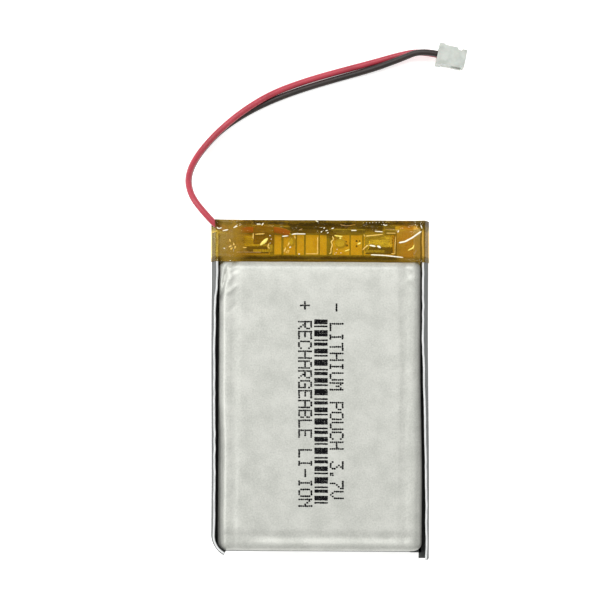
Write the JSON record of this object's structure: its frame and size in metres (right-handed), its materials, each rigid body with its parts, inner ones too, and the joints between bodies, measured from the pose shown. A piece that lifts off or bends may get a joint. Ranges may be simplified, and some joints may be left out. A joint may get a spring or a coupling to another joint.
{
  "type": "pouch battery cell",
  "caption": "Flat lithium pouch cell with folded side seals, an amber-taped protection board at one end, and a red and black lead to a small white plug.",
  "frame": {"origin": "under the middle of the cell, on the back face that it lies on", "axes": "+Z is the thickness, up through the printed face; +Y runs along the cell to the taped end where the leads come out; +X to the right as the printed face is seen with the taped end up"},
  "size_m": [0.0446, 0.0816, 0.01],
  "materials": {
    "laminate": "satin, fine-grained",
    "laminate_back": "satin, fine-grained",
    "cathode_coating": "matt, nearly black",
    "anode_coating": "matt graphite",
    "separator_film": "matt white film",
    "roll_tape": "thin green tape",
    "aluminium_tab": "bright rolled",
    "nickel_tab": "bright rolled nickel",
    "tab_sealant": "grey polymer strip",
    "insulating_paper": "matt",
    "board_laminate": "dark green solder mask",
    "gold_pads": "gold flash",
    "chip_body": "moulded",
    "resistor_body": "glazed black",
    "capacitor_body": "tan ceramic",
    "tinned_leads": "tin plated",
    "nickel_strap": "rolled nickel",
    "solder": "bright solder",
    "polyimide_film": "clear amber film",
    "red_insulation": "soft red PVC",
    "black_insulation": "soft black PVC",
    "tinned_core": "tinned copper strands",
    "plug_nylon": "milky nylon",
    "contact_metal": "tin-plated phosphor bronze"
  },
  "bodies": {
    "root": {"pouch_front_cup": "laminate", "pouch_back_cup": "laminate_back", "positive_electrode": "cathode_coating", "negative_electrode": "anode_coating", "inner_separator": "separator_film", "outer_separator": "separator_film", "roll_end_tape": "roll_tape", "positive_tab": "aluminium_tab", "negative_tab": "nickel_tab", "positive_tab_sealant": "tab_sealant", "negative_tab_sealant": "tab_sealant", "terrace_paper": "insulating_paper", "circuit_board": "board_laminate", "board_pads": "gold_pads", "protection_ic": "chip_body", "mosfet_pair": "chip_body", "chip_resistors": "resistor_body", "chip_capacitor": "capacitor_body", "protection_ic_leads": "tinned_leads", "mosfet_leads": "tinned_leads", "resistor_terminals": "tinned_leads", "capacitor_terminals": "tinned_leads", "positive_strap": "nickel_strap", "negative_strap": "nickel_strap", "red_solder": "solder", "black_solder": "solder", "wire_holding_tape": "polyimide_film", "polyimide_wrap": "polyimide_film", "polyimide_end_wrap": "polyimide_film", "red_lead": "red_insulation", "red_lead_held": "red_insulation", "black_lead": "black_insulation", "black_lead_held": "black_insulation", "red_lead_core": "tinned_core", "black_lead_core": "tinned_core", "plug_housing": "plug_nylon", "red_contact": "contact_metal", "black_contact": "contact_metal"}
  },
  "joints": []
}
